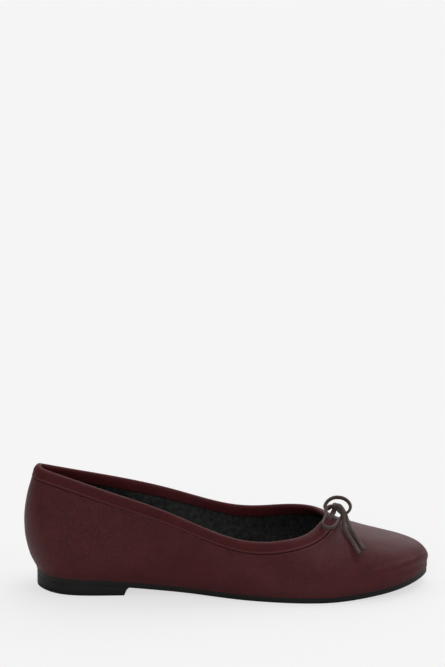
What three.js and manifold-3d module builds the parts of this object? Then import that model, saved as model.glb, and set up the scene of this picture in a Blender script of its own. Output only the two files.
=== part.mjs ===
// Ballet flat, right shoe, in millimetres: +X to the toe, +Y to the inner side, +Z up.
// The origin is on the floor, in the middle of the heel block.

import * as THREE from 'three';
import { mergeVertices } from 'three/addons/utils/BufferGeometryUtils.js';
import Module from 'manifold-3d';

const wasm = await Module();
wasm.setup();

// Driving sizes of the shoe
const shoeLength = 252;
const ballWidth = 80.5;
const backHeight = 78;
const throatHeight = 43.6;
const heelBlockLength = 54.4;
const heelBlockHeight = 4.8;
const heelBreastSlope = 3.4;
const heelSeatRise = 2.2;
const soleThickness = 4.2;
const soleEdgeBevel = 0.6;
const toeSpring = 6.9;
const wallThickness = 1.7;
const lastingMargin = 9;
const insoleThickness = 2;
const bindingWidth = 8.6;
const bindingLeather = 0.9;
const bindingRise = 0.5;
const laceDiameter = 2;
const knotRadius = 2.7;
const clearance = 0.3;

// Places along the shoe, as shares of its length
const counterOverhang = 0.0325;
const heelSeatStart = 0.1;
const heelSeatEnd = 0.36;
const waistStart = 0.19;
const ballStart = 0.56;
const toeStart = 0.74;

// Where the rearmost point of the counter lies
const rearX = -(counterOverhang * shoeLength + heelBlockLength / 2);

// The wall's edges at 18 sections around the shoe, from the heel back along the outer side to the toe
// and back along the inner side. foot is the lower edge and rim the upper one: along is a share of
// the shoe's length, aside a share of the ball width, and climb goes from the throat's height (0) to
// the back's (1).
const wallEdges = [
  { footAlong: 0.030, footAside: 0.000, rimAlong: 0.035, rimAside: 0.000, climb: 0.988 },
  { footAlong: 0.065, footAside: -0.243, rimAlong: 0.046, rimAside: -0.070, climb: 0.948 },
  { footAlong: 0.143, footAside: -0.345, rimAlong: 0.108, rimAside: -0.138, climb: 0.817 },
  { footAlong: 0.278, footAside: -0.335, rimAlong: 0.222, rimAside: -0.248, climb: 0.587 },
  { footAlong: 0.417, footAside: -0.354, rimAlong: 0.365, rimAside: -0.350, climb: 0.276 },
  { footAlong: 0.575, footAside: -0.484, rimAlong: 0.516, rimAside: -0.383, climb: -0.148 },
  { footAlong: 0.722, footAside: -0.539, rimAlong: 0.630, rimAside: -0.358, climb: -0.212 },
  { footAlong: 0.843, footAside: -0.450, rimAlong: 0.700, rimAside: -0.245, climb: -0.140 },
  { footAlong: 0.941, footAside: -0.280, rimAlong: 0.735, rimAside: -0.100, climb: 0.000 },
  { footAlong: 0.997, footAside: 0.050, rimAlong: 0.746, rimAside: 0.012, climb: 0.000 },
  { footAlong: 0.944, footAside: 0.311, rimAlong: 0.735, rimAside: 0.115, climb: 0.017 },
  { footAlong: 0.841, footAside: 0.441, rimAlong: 0.703, rimAside: 0.250, climb: 0.029 },
  { footAlong: 0.722, footAside: 0.460, rimAlong: 0.632, rimAside: 0.345, climb: -0.009 },
  { footAlong: 0.575, footAside: 0.373, rimAlong: 0.516, rimAside: 0.366, climb: -0.020 },
  { footAlong: 0.417, footAside: 0.273, rimAlong: 0.365, rimAside: 0.350, climb: 0.276 },
  { footAlong: 0.278, footAside: 0.304, rimAlong: 0.222, rimAside: 0.248, climb: 0.587 },
  { footAlong: 0.143, footAside: 0.343, rimAlong: 0.108, rimAside: 0.138, climb: 0.817 },
  { footAlong: 0.065, footAside: 0.243, rimAlong: 0.046, rimAside: 0.070, climb: 0.948 },
];

// The wall's swell at the same sections, as shares of the section's chord: swell and rise are how far
// it sets out sideways and upwards from the foot, lean and drop how far it comes into the rim from
// outside and from below.
const wallSwell = [
  { swell: 0.18, rise: 0.27, lean: 0.155, drop: 0.30 },
  { swell: 0.155, rise: 0.27, lean: 0.16, drop: 0.29 },
  { swell: 0.09, rise: 0.28, lean: 0.11, drop: 0.28 },
  { swell: 0.08, rise: 0.30, lean: 0.08, drop: 0.30 },
  { swell: 0.09, rise: 0.30, lean: 0.07, drop: 0.32 },
  { swell: 0.10, rise: 0.30, lean: 0.12, drop: 0.32 },
  { swell: 0.08, rise: 0.30, lean: 0.20, drop: 0.26 },
  { swell: 0.06, rise: 0.30, lean: 0.31, drop: 0.22 },
  { swell: 0.06, rise: 0.30, lean: 0.41, drop: 0.22 },
  { swell: 0.08, rise: 0.29, lean: 0.45, drop: 0.21 },
  { swell: 0.06, rise: 0.30, lean: 0.39, drop: 0.22 },
  { swell: 0.06, rise: 0.30, lean: 0.31, drop: 0.22 },
  { swell: 0.08, rise: 0.30, lean: 0.20, drop: 0.26 },
  { swell: 0.12, rise: 0.30, lean: 0.12, drop: 0.32 },
  { swell: 0.13, rise: 0.30, lean: 0.06, drop: 0.32 },
  { swell: 0.12, rise: 0.30, lean: 0.07, drop: 0.30 },
  { swell: 0.10, rise: 0.28, lean: 0.10, drop: 0.28 },
  { swell: 0.155, rise: 0.27, lean: 0.16, drop: 0.29 },
];
const sectionCount = wallEdges.length;
const toeStation = sectionCount / 2;

// A smooth closed curve through one value per section, with unbroken curvature
function closedCurve(values) {
  const count = values.length;
  const bend = new Array(count).fill(0);
  const sweeps = 60;
  for (let sweep = 0; sweep < sweeps; sweep += 1) {
    for (let i = 0; i < count; i += 1) {
      const before = (i + count - 1) % count;
      const after = (i + 1) % count;
      const turn = values[after] - 2 * values[i] + values[before];
      bend[i] = 1.5 * turn - 0.25 * (bend[before] + bend[after]);
    }
  }
  return (station) => {
    const turns = ((station % count) + count) % count;
    const i = Math.floor(turns);
    const after = (i + 1) % count;
    const b = turns - i;
    const a = 1 - b;
    return a * values[i] + b * values[after] + ((a ** 3 - a) * bend[i] + (b ** 3 - b) * bend[after]) / 6;
  };
}

const sectionCurves = {};
for (const table of [wallEdges, wallSwell]) {
  for (const column of Object.keys(table[0])) {
    sectionCurves[column] = closedCurve(table.map((section) => section[column]));
  }
}

function smoothStep(from, to, value) {
  const q = THREE.MathUtils.clamp((value - from) / (to - from), 0, 1);
  return q * q * (3 - 2 * q);
}

const toeSpringCurve = 1.8;

// Height of the sole's underside: falling from the back of the heel seat through the waist, flat at
// the ball, rising to the toe
function soleBottom(x) {
  const along = (x - rearX) / shoeLength;
  const toeShare = Math.max(0, (along - toeStart) / (1 - toeStart));
  const waist = heelBlockHeight * (1 - smoothStep(waistStart, ballStart, along));
  const seat = heelSeatRise * (1 - smoothStep(heelSeatStart, heelSeatEnd, along));
  return waist + seat + toeSpring * toeShare ** toeSpringCurve;
}

function soleTop(x) {
  return soleBottom(x) + soleThickness;
}

// Plan of the wall's foot, which is also the sole's outline
function footPoint(station) {
  const x = rearX + sectionCurves.footAlong(station) * shoeLength;
  const y = sectionCurves.footAside(station) * ballWidth;
  return new THREE.Vector3(x, y, soleTop(x) + clearance);
}

function rimPoint(station) {
  const x = rearX + sectionCurves.rimAlong(station) * shoeLength;
  const y = sectionCurves.rimAside(station) * ballWidth;
  const z = throatHeight + sectionCurves.climb(station) * (backHeight - throatHeight);
  return new THREE.Vector3(x, y, z);
}

// Level direction that points straight out of the foot's plan
function footOutward(station) {
  const step = 0.02;
  const ahead = footPoint(station + step);
  const behind = footPoint(station - step);
  return new THREE.Vector3(-(ahead.y - behind.y), ahead.x - behind.x, 0).normalize().negate();
}

// The wall's section at a station: a curve from the foot up to the rim
const outwardBlend = 10;
function wallCurve(station) {
  const foot = footPoint(station);
  const rim = rimPoint(station);
  const chord = foot.distanceTo(rim);
  const outward = footOutward(station).multiplyScalar(outwardBlend);
  outward.x += foot.x - rim.x;
  outward.y += foot.y - rim.y;
  outward.normalize();
  const low = foot.clone().addScaledVector(outward, sectionCurves.swell(station) * chord);
  low.z += sectionCurves.rise(station) * chord;
  const high = rim.clone().addScaledVector(outward, sectionCurves.lean(station) * chord);
  high.z -= sectionCurves.drop(station) * chord;
  return new THREE.CubicBezierCurve3(rim, high, low, foot);
}

// Outer surface of the wall: a point at a share of the way down from the rim to the foot
const wallCurves = new Map();
function wallAt(station, share) {
  const key = station.toFixed(5);
  if (!wallCurves.has(key)) {
    const curve = wallCurve(station);
    curve.arcLengthDivisions = 60;
    wallCurves.set(key, curve);
  }
  return wallCurves.get(key).getPointAt(THREE.MathUtils.clamp(share, 0, 1));
}

function wallLength(station) {
  wallAt(station, 0);
  return wallCurves.get(station.toFixed(5)).getLength();
}

// A point in the wall, down from the rim and deep from the outer surface, both in millimetres
function wallPoint(station, down, deep) {
  const step = 0.02;
  const share = down / wallLength(station);
  const shareStep = 0.01;
  const low = Math.min(share + shareStep, 1);
  const high = Math.max(share - shareStep, 0);
  const around = wallAt(station + step, share).sub(wallAt(station - step, share));
  const along = wallAt(station, high).sub(wallAt(station, low));
  const inward = new THREE.Vector3().crossVectors(along, around).normalize();
  return wallAt(station, share).addScaledVector(inward, deep);
}

// A closed solid from rings of points; each ring is joined to the next, and the last one to the
// first, or both end rings are closed by strips from each point to its opposite one
function solidFromRings(rings, endless) {
  const size = rings[0].length;
  const positions = rings.flat().flatMap((point) => [point.x, point.y, point.z]);
  const faces = [];
  const spans = endless ? rings.length : rings.length - 1;
  for (let i = 0; i < spans; i += 1) {
    const here = i * size;
    const next = ((i + 1) % rings.length) * size;
    for (let j = 0; j < size; j += 1) {
      const k = (j + 1) % size;
      faces.push([here + j, next + j, next + k]);
      faces.push([here + j, next + k, here + k]);
    }
  }
  if (!endless) {
    const last = (rings.length - 1) * size;
    for (let j = 0; j < size / 2 - 1; j += 1) {
      const k = size - 1 - j;
      faces.push([j, j + 1, k - 1]);
      faces.push([j, k - 1, k]);
      faces.push([last + j, last + k - 1, last + j + 1]);
      faces.push([last + j, last + k, last + k - 1]);
    }
  }
  const solid = new THREE.BufferGeometry();
  solid.setAttribute('position', new THREE.Float32BufferAttribute(positions, 3));
  solid.setIndex(faces.flat());
  return facingOut(solid);
}

// Turns all faces over where they point into the solid
function facingOut(solid) {
  const point = solid.getAttribute('position');
  const index = solid.getIndex();
  const corners = [new THREE.Vector3(), new THREE.Vector3(), new THREE.Vector3()];
  let volume = 0;
  for (let i = 0; i < index.count; i += 3) {
    corners.forEach((corner, k) => corner.fromBufferAttribute(point, index.getX(i + k)));
    volume += corners[0].dot(corners[1].clone().cross(corners[2])) / 6;
  }
  if (volume < 0) {
    for (let i = 0; i < index.count; i += 3) {
      const swap = index.getX(i + 1);
      index.setX(i + 1, index.getX(i + 2));
      index.setX(i + 2, swap);
    }
  }
  return mergeVertices(solid, 1e-4);
}

// Stations around the whole shoe, and the stations of the ribs that cross it
const stationsAround = 80;
const around = Array.from({ length: stationsAround }, (_, i) => (i / stationsAround) * sectionCount);

const ribCount = 44;
const ribEnd = 0.06;
const ribs = Array.from({ length: ribCount + 1 }, (_, i) => {
  const share = (1 - Math.cos((Math.PI * i) / ribCount)) / 2;
  const eased = 0.5 * share + 0.5 * (i / ribCount);
  return ribEnd + eased * (toeStation - 2 * ribEnd);
});

// A point of the foot's plan, moved straight inwards
function insetPlan(station, inset) {
  return footPoint(station).addScaledVector(footOutward(station), -inset);
}

// How deep the wall steps in under the binding's outer leg
const bindingRecess = bindingLeather + clearance - bindingRise;

const outerFaceShares = [0, 0.12, 0.25, 0.38, 0.51, 0.64, 0.76, 0.87, 0.95, 1];
const innerFaceShares = [1, 0.8, 0.6, 0.4, 0.2, 0];
const marginCornerInset = 0.4;
const marginCornerRise = 1.2;

// The upper: outer wall, recess under the binding, turned-in lasting margin, inner wall
function upperRing(station) {
  const length = wallLength(station);
  const coreTop = bindingLeather + clearance;
  const stepDown = bindingWidth + clearance;
  const outside = outerFaceShares.map((share) => {
    return wallPoint(station, stepDown + share * (length - stepDown), 0);
  });
  const marginInner = insetPlan(station, lastingMargin);
  const marginLow = new THREE.Vector3(marginInner.x, marginInner.y, soleTop(marginInner.x) + clearance);
  const marginHigh = marginLow.clone().setZ(marginLow.z + wallThickness);
  const cornerPlan = insetPlan(station, wallThickness + marginCornerInset);
  const corner = cornerPlan.setZ(soleTop(cornerPlan.x) + clearance + wallThickness);
  const insideEnd = length - wallThickness - marginCornerRise;
  const inside = innerFaceShares.map((share) => {
    const down = stepDown + share * (insideEnd - stepDown);
    return wallPoint(station, down, wallThickness);
  });
  return [
    wallPoint(station, coreTop, bindingRecess),
    wallPoint(station, (coreTop + stepDown) / 2, bindingRecess),
    wallPoint(station, stepDown, bindingRecess),
    ...outside,
    marginLow,
    marginHigh,
    corner,
    ...inside,
    wallPoint(station, (coreTop + stepDown) / 2, wallThickness),
    wallPoint(station, coreTop, wallThickness),
  ];
}

const upperSolid = solidFromRings(around.map(upperRing), true);

// How deep the inner face of the binding's outer leg lies
const bindingOuterLeg = bindingRecess - clearance;

// The binding: a strip folded over the upper's edge
function bindingRing(station) {
  const innerLeg = wallThickness + clearance;
  const innerFace = innerLeg + bindingLeather;
  const profile = [
    { down: bindingWidth, deep: bindingOuterLeg },
    { down: bindingWidth, deep: -0.2 * bindingRise },
    { down: 0.82 * bindingWidth, deep: -0.9 * bindingRise },
    { down: 0.5 * bindingWidth, deep: -bindingRise },
    { down: 0.17 * bindingWidth, deep: -0.8 * bindingRise },
    { down: 0.25 * bindingLeather, deep: 0.3 * innerLeg },
    { down: 0, deep: 0.6 * innerLeg },
    { down: 0.35 * bindingLeather, deep: innerLeg + 0.5 * bindingLeather },
    { down: 0.2 * bindingWidth, deep: innerFace },
    { down: 0.6 * bindingWidth, deep: innerFace },
    { down: bindingWidth, deep: innerFace },
    { down: bindingWidth, deep: innerLeg },
    { down: 0.5 * bindingWidth, deep: innerLeg },
    { down: bindingLeather, deep: innerLeg },
    { down: bindingLeather, deep: bindingOuterLeg },
    { down: 0.5 * bindingWidth, deep: bindingOuterLeg },
  ];
  return profile.map(({ down, deep }) => wallPoint(station, down, deep));
}

// Solids in and out of the boolean library
function toManifold(geometry) {
  const bare = geometry.clone();
  bare.deleteAttribute('normal');
  bare.deleteAttribute('uv');
  const merged = mergeVertices(bare, 1e-4);
  const vertProperties = new Float32Array(merged.getAttribute('position').array);
  const triVerts = new Uint32Array(merged.getIndex().array);
  return new wasm.Manifold(new wasm.Mesh({ numProp: 3, vertProperties, triVerts }));
}

function fromManifold(solid) {
  const mesh = solid.getMesh();
  const geometry = new THREE.BufferGeometry();
  geometry.setAttribute('position', new THREE.Float32BufferAttribute(mesh.vertProperties, 3));
  geometry.setIndex(Array.from(mesh.triVerts));
  return geometry;
}

// Where the drawstring leaves the binding: two holes at the throat, one each side of its middle
const outerHoleSpread = 0.7;
const innerHoleSpread = 0.15;
const laceHoleDown = 0.45 * bindingWidth;
const laceHoleStations = { outer: toeStation - outerHoleSpread, inner: toeStation + innerHoleSpread };

function laceHoleTool(station) {
  const bottom = wallPoint(station, laceHoleDown, bindingOuterLeg + clearance / 2);
  const top = wallPoint(station, laceHoleDown, -2 * bindingLeather);
  const radius = laceDiameter / 2 + clearance;
  const tool = new THREE.CylinderGeometry(radius, radius, bottom.distanceTo(top), 12);
  const axis = top.clone().sub(bottom).normalize();
  tool.applyQuaternion(new THREE.Quaternion().setFromUnitVectors(new THREE.Vector3(0, 1, 0), axis));
  const middle = bottom.clone().add(top).multiplyScalar(0.5);
  tool.translate(middle.x, middle.y, middle.z);
  return toManifold(tool);
}

const foldedBinding = toManifold(solidFromRings(around.map(bindingRing), true));
const bindingSolid = fromManifold(
  foldedBinding
    .subtract(laceHoleTool(laceHoleStations.outer))
    .subtract(laceHoleTool(laceHoleStations.inner)),
);

// The outsole: a bent plate with the foot's outline, its lower edge bevelled ahead of the heel block
const breastX = heelBlockLength / 2;
const leastBevel = 0.12;

function edgePoint(station, inset, height) {
  const point = insetPlan(station, inset);
  return point.setZ(height(point.x));
}

function soleRib(station) {
  const outer = station;
  const inner = sectionCount - station;
  const ahead = (footPoint(station).x - breastX) / heelBreastSlope;
  const bevel = leastBevel + (soleEdgeBevel - leastBevel) * THREE.MathUtils.clamp(ahead, 0, 1);
  const bevelled = (x) => soleBottom(x) + bevel;
  return [
    edgePoint(outer, 0, soleTop),
    edgePoint(outer, 0, bevelled),
    edgePoint(outer, bevel, soleBottom),
    edgePoint(inner, bevel, soleBottom),
    edgePoint(inner, 0, bevelled),
    edgePoint(inner, 0, soleTop),
  ];
}

const outsoleSolid = solidFromRings(ribs.map(soleRib), false);

// The heel block: flat on the floor under the sole's rear, its breast curving up into the waist
function stationAt(x) {
  let low = 0;
  let high = toeStation;
  for (let halving = 0; halving < 40; halving += 1) {
    const middle = (low + high) / 2;
    if (footPoint(middle).x < x) low = middle;
    else high = middle;
  }
  return (low + high) / 2;
}

function heelBottom(x) {
  const share = THREE.MathUtils.clamp((x - breastX) / heelBreastSlope, 0, 1);
  return (soleBottom(x) - clearance) * (1 - (1 - share) ** 2);
}

const heelRibCount = 16;
const heelRibCrowding = 1.3;
const breastShares = [0.2, 0.45, 0.75];
const breastStation = stationAt(breastX);
const heelRibs = Array.from({ length: heelRibCount + 1 }, (_, i) => {
  const share = (i / heelRibCount) ** heelRibCrowding;
  return ribEnd + share * (breastStation - ribEnd);
});
for (const share of breastShares) {
  heelRibs.push(stationAt(breastX + share * heelBreastSlope));
}

function heelRib(station) {
  const outer = station;
  const inner = sectionCount - station;
  const top = (x) => soleBottom(x) - clearance;
  return [
    edgePoint(outer, 0, top),
    edgePoint(outer, 0, heelBottom),
    edgePoint(inner, 0, heelBottom),
    edgePoint(inner, 0, top),
  ];
}

const heelSolid = solidFromRings(heelRibs.map(heelRib), false);

// The insole: its rim lies on the turned-in margin, its middle fills the opening down to the sole
const insoleInset = wallThickness + 3 * clearance;
const insoleEdgeRound = 0.5;
function insoleRib(station) {
  const outer = station;
  const inner = sectionCount - station;
  const fillerInset = lastingMargin + clearance;
  const seat = (x) => soleTop(x) + 2 * clearance + wallThickness;
  const floor = (x) => soleTop(x) + clearance;
  const top = (x) => seat(x) + insoleThickness;
  const shoulder = (x) => top(x) - insoleEdgeRound;
  return [
    edgePoint(outer, insoleInset + insoleEdgeRound, top),
    edgePoint(outer, insoleInset, shoulder),
    edgePoint(outer, insoleInset, seat),
    edgePoint(outer, fillerInset, seat),
    edgePoint(outer, fillerInset + insoleEdgeRound, floor),
    edgePoint(inner, fillerInset + insoleEdgeRound, floor),
    edgePoint(inner, fillerInset, seat),
    edgePoint(inner, insoleInset, seat),
    edgePoint(inner, insoleInset, shoulder),
    edgePoint(inner, insoleInset + insoleEdgeRound, top),
  ];
}

const insoleRibEnd = 0.3;
const insoleRibCount = 30;
const insoleRibs = Array.from({ length: insoleRibCount + 1 }, (_, i) => {
  const share = (1 - Math.cos((Math.PI * i) / insoleRibCount)) / 2;
  const eased = 0.4 * share + 0.6 * (i / insoleRibCount);
  return insoleRibEnd + eased * (toeStation - 2 * insoleRibEnd);
});
const insoleSolid = solidFromRings(insoleRibs.map(insoleRib), false);

// The bow: a knot standing over the throat, and for each side of the drawstring a lead up from its
// hole, a loop and a tail. Places are measured from the throat's middle on the rim.
const throatMiddle = rimPoint(toeStation);
const knotStandoff = new THREE.Vector3(5.5, 0.6, 5.4);
const knotPlace = throatMiddle.clone().add(knotStandoff);

// Bends of each strand, measured from the knot's middle, and the way it leaves the knot
const bow = {
  outer: {
    leadBends: [[-1.9, -6.2, -4.3]],
    leadInto: [-0.10, -0.55, -0.83],
    loopFrom: [-0.90, -0.38, 0.20],
    loopBends: [[-4.9, -3.0, 0.2], [-5.6, -6.5, -2.2], [-7.0, -12.0, -4.4], [-8.2, -17.6, -6.2],
      [-5.6, -19.8, -7.7], [-1.2, -18.2, -7.7], [1.2, -12.6, -6.9], [3.6, -6.4, -5.6], [4.3, -3.0, -4.2]],
    loopInto: [0.62, -0.35, -0.70],
    tailFrom: [0.70, -0.68, 0.20],
    tailBends: [[4.7, -4.7, -1.3], [5.3, -7.7, -4.2], [5.4, -11.2, -7.9], [6.4, -16.3, -11.0],
      [9.8, -22.2, -15.0], [12.6, -27.8, -18.3], [14.6, -32.6, -20.4]],
  },
  inner: {
    leadBends: [[-1.5, 1.6, -4.6]],
    leadInto: [-0.10, 0.60, -0.79],
    loopFrom: [-0.75, 0.60, -0.25],
    loopBends: [[-5.0, 3.4, -3.0], [-6.1, 5.0, -1.8], [-4.6, 7.0, 1.0], [-1.1, 8.5, 3.0], [2.7, 9.5, 3.1],
      [6.4, 9.0, 2.2], [9.1, 7.5, 0.1], [9.9, 5.5, -2.2], [8.5, 4.2, -4.7], [6.1, 3.7, -5.9],
      [3.7, 3.5, -4.2]],
    loopInto: [0.62, 0.62, -0.48],
    tailFrom: [0.93, 0.25, 0.10],
    tailBends: [[4.8, 0.3, -1.8], [6.5, -0.9, -4.8], [7.5, -3.1, -7.2], [9.5, -9.6, -10.1],
      [12.3, -17.2, -13.0], [14.8, -22.5, -16.1], [17.3, -28.3, -19.0]],
  },
};

const knotReach = knotRadius + clearance;

function atKnot(way, beyond) {
  return new THREE.Vector3(...way).normalize().multiplyScalar(knotReach + beyond).add(knotPlace);
}

function fromKnot(bends) {
  return bends.map((bend) => new THREE.Vector3(...bend).add(knotPlace));
}

function laceSolid(points, steps) {
  const sides = 8;
  const outline = new THREE.Shape();
  for (let i = 0; i < sides; i += 1) {
    const angle = (2 * Math.PI * i) / sides;
    const x = (Math.cos(angle) * laceDiameter) / 2;
    const y = (Math.sin(angle) * laceDiameter) / 2;
    if (i === 0) outline.moveTo(x, y);
    else outline.lineTo(x, y);
  }
  outline.closePath();
  const extrudePath = new THREE.CatmullRomCurve3(points);
  const tube = new THREE.ExtrudeGeometry(outline, { steps, bevelEnabled: false, extrudePath });
  tube.deleteAttribute('normal');
  tube.deleteAttribute('uv');
  return facingOut(mergeVertices(tube, 1e-4));
}

function knotSolid() {
  const ball = new THREE.SphereGeometry(knotRadius, 12, 8);
  ball.deleteAttribute('normal');
  ball.deleteAttribute('uv');
  ball.translate(knotPlace.x, knotPlace.y, knotPlace.z);
  return facingOut(mergeVertices(ball, 1e-4));
}

const blackRubber = { color: 0x232224, roughness: 0.45 };
const blackSock = { color: 0x151415, roughness: 0.6 };
const oxbloodLeather = { color: 0x4a1f22, roughness: 0.42 };
const bindingOxblood = { color: 0x4e2226, roughness: 0.4 };
const taupeLace = { color: 0x4b443c, roughness: 0.6 };

const group = new THREE.Group();
function addPiece(name, solid, finish) {
  const mesh = new THREE.Mesh(solid, new THREE.MeshStandardMaterial({ ...finish, metalness: 0 }));
  mesh.name = name;
  group.add(mesh);
}

addPiece('outsole', outsoleSolid, blackRubber);
addPiece('heel', heelSolid, blackRubber);
addPiece('upper', upperSolid, oxbloodLeather);
addPiece('insole', insoleSolid, blackSock);
addPiece('topline_binding', bindingSolid, bindingOxblood);
addPiece('bow_knot', knotSolid(), taupeLace);
for (const side of ['outer', 'inner']) {
  const strands = bow[side];
  const station = laceHoleStations[side];
  const mouth = wallPoint(station, laceHoleDown, bindingOuterLeg);
  const lip = wallPoint(station, laceHoleDown, -bindingLeather);
  const straight = 0.6 * laceDiameter;
  const lead = [mouth, lip, ...fromKnot(strands.leadBends)];
  lead.push(atKnot(strands.leadInto, straight), atKnot(strands.leadInto, 0));
  const loop = [atKnot(strands.loopFrom, 0), atKnot(strands.loopFrom, straight)];
  loop.push(...fromKnot(strands.loopBends));
  loop.push(atKnot(strands.loopInto, straight), atKnot(strands.loopInto, 0));
  const tail = [atKnot(strands.tailFrom, 0), atKnot(strands.tailFrom, straight)];
  tail.push(...fromKnot(strands.tailBends));
  addPiece(`bow_lead_${side}`, laceSolid(lead, 6), taupeLace);
  addPiece(`bow_loop_${side}`, laceSolid(loop, 20), taupeLace);
  addPiece(`bow_tail_${side}`, laceSolid(tail, 13), taupeLace);
}

export default group;
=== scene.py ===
import math

import bmesh
import bpy
import numpy as np
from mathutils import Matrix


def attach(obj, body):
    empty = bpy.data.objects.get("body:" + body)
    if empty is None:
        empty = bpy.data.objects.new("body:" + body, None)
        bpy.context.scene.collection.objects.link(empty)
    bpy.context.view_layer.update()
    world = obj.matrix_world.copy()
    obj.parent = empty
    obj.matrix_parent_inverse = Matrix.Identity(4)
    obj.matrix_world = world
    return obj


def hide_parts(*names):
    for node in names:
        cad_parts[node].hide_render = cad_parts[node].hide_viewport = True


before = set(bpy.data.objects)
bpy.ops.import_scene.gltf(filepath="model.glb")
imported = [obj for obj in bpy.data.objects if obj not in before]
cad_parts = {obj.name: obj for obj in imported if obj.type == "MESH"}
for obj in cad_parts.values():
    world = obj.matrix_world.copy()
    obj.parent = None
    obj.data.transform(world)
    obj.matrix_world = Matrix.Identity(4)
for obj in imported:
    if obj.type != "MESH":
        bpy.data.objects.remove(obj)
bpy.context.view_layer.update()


# The last, the form that the shoe is pulled over. None of it shows, but every piece takes its place
# from it. Lengths are in millimetres, and the origin is on the floor under the heel's middle.
# Each section has the wall's lower edge (foot) and upper edge (rim) and the bulge between them.
shoe_length = 252.0
ball_width = 80.5
back_height = 78.0
throat_height = 43.6
heel_length = 54.4
heel_height = 4.8
heel_seat_rise = 2.2
heel_seat_start = 0.1
heel_seat_end = 0.36
breast_slope = 3.4
sole_thickness = 4.2
toe_spring = 6.9
toe_spring_curve = 1.8
counter_overhang = 0.0325
waist_start = 0.19
ball_start = 0.56
toe_start = 0.74
clearance = 0.3
rear_x = -(counter_overhang * shoe_length + heel_length / 2)

section_columns = ("foot_along", "foot_aside", "rim_along", "rim_aside", "climb",
                   "swell", "rise", "lean", "drop")
wall_sections = np.array([
    (0.030, 0.000, 0.035, 0.000, 0.988, 0.18, 0.27, 0.155, 0.30),
    (0.065, -0.243, 0.046, -0.070, 0.948, 0.155, 0.27, 0.16, 0.29),
    (0.143, -0.345, 0.108, -0.138, 0.817, 0.09, 0.28, 0.11, 0.28),
    (0.278, -0.335, 0.222, -0.248, 0.587, 0.08, 0.30, 0.08, 0.30),
    (0.417, -0.354, 0.365, -0.350, 0.276, 0.09, 0.30, 0.07, 0.32),
    (0.575, -0.484, 0.516, -0.383, -0.148, 0.10, 0.30, 0.12, 0.32),
    (0.722, -0.539, 0.630, -0.358, -0.212, 0.08, 0.30, 0.20, 0.26),
    (0.843, -0.450, 0.700, -0.245, -0.140, 0.06, 0.30, 0.31, 0.22),
    (0.941, -0.280, 0.735, -0.100, 0.000, 0.06, 0.30, 0.41, 0.22),
    (0.997, 0.050, 0.746, 0.012, 0.000, 0.08, 0.29, 0.45, 0.21),
    (0.944, 0.311, 0.735, 0.115, 0.017, 0.06, 0.30, 0.39, 0.22),
    (0.841, 0.441, 0.703, 0.250, 0.029, 0.06, 0.30, 0.31, 0.22),
    (0.722, 0.460, 0.632, 0.345, -0.009, 0.08, 0.30, 0.20, 0.26),
    (0.575, 0.373, 0.516, 0.366, -0.020, 0.12, 0.30, 0.12, 0.32),
    (0.417, 0.273, 0.365, 0.350, 0.276, 0.13, 0.30, 0.06, 0.32),
    (0.278, 0.304, 0.222, 0.248, 0.587, 0.12, 0.30, 0.07, 0.30),
    (0.143, 0.343, 0.108, 0.138, 0.817, 0.10, 0.28, 0.10, 0.28),
    (0.065, 0.243, 0.046, 0.070, 0.948, 0.155, 0.27, 0.16, 0.29),
])
section_count = len(wall_sections)
toe_station = section_count / 2


def closed_curve(values):
    """A smooth closed curve through one value per section."""
    count = len(values)
    turn = np.roll(values, -1) - 2 * values + np.roll(values, 1)
    ring = 4 * np.eye(count) + np.roll(np.eye(count), 1, 0) + np.roll(np.eye(count), -1, 0)
    bend = np.linalg.solve(ring, 6 * turn)

    def at(station):
        turns = np.mod(station, count)
        here = np.floor(turns).astype(int) % count
        after = (here + 1) % count
        b = turns - np.floor(turns)
        a = 1 - b
        curved = ((a ** 3 - a) * bend[here] + (b ** 3 - b) * bend[after]) / 6
        return a * values[here] + b * values[after] + curved

    return at


last = {name: closed_curve(wall_sections[:, i]) for i, name in enumerate(section_columns)}


def ease(start, end, value):
    q = np.clip((value - start) / (end - start), 0, 1)
    return q * q * (3 - 2 * q)


def sole_bottom(x):
    along = (x - rear_x) / shoe_length
    toe_share = np.maximum(0, (along - toe_start) / (1 - toe_start))
    waist = heel_height * (1 - ease(waist_start, ball_start, along))
    seat = heel_seat_rise * (1 - ease(heel_seat_start, heel_seat_end, along))
    return waist + seat + toe_spring * toe_share ** toe_spring_curve


def foot_point(station):
    x = rear_x + last["foot_along"](station) * shoe_length
    y = last["foot_aside"](station) * ball_width
    return np.stack([x, y, sole_bottom(x) + sole_thickness + clearance], -1)


def rim_point(station):
    x = rear_x + last["rim_along"](station) * shoe_length
    y = last["rim_aside"](station) * ball_width
    z = throat_height + last["climb"](station) * (back_height - throat_height)
    return np.stack([x, y, z], -1)


def unit(vectors):
    return vectors / np.maximum(np.linalg.norm(vectors, axis=-1, keepdims=True), 1e-9)


def foot_outward(station):
    """Level direction that points straight out of the foot's plan."""
    step = 0.02
    way = foot_point(station + step) - foot_point(station - step)
    return unit(np.stack([way[..., 1], -way[..., 0], 0 * way[..., 0]], -1))


def soft_noise(points, wavelength, seed):
    """Smooth irregular waves through space, from about -1 to 1."""
    draw = np.random.default_rng(seed)
    waves = 9
    total = np.zeros(points.shape[:-1])
    for _ in range(waves):
        way = draw.normal(size=3)
        way *= 2 * math.pi / (wavelength * draw.uniform(0.75, 1.35) * np.linalg.norm(way))
        total += np.sin(points @ way + draw.uniform(0, 2 * math.pi))
    return total / math.sqrt(waves / 2) / 1.6


# The black rubber outsole: a moulded unit cut to the last's outline, 4.2 mm thick, with rounded
# edges and fine curved tread ribs under the forefoot. It is cemented under the upper.
millimetre = 0.001
outsole_ribs = 560
outsole_across = 30
edge_rounding = 0.45
low_edge_rounding = 0.16
tread_depth = 0.28
tread_pitch = 3.6
tread_margin = 5.0
tread_start = 86.0
tread_end = 200.0


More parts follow.
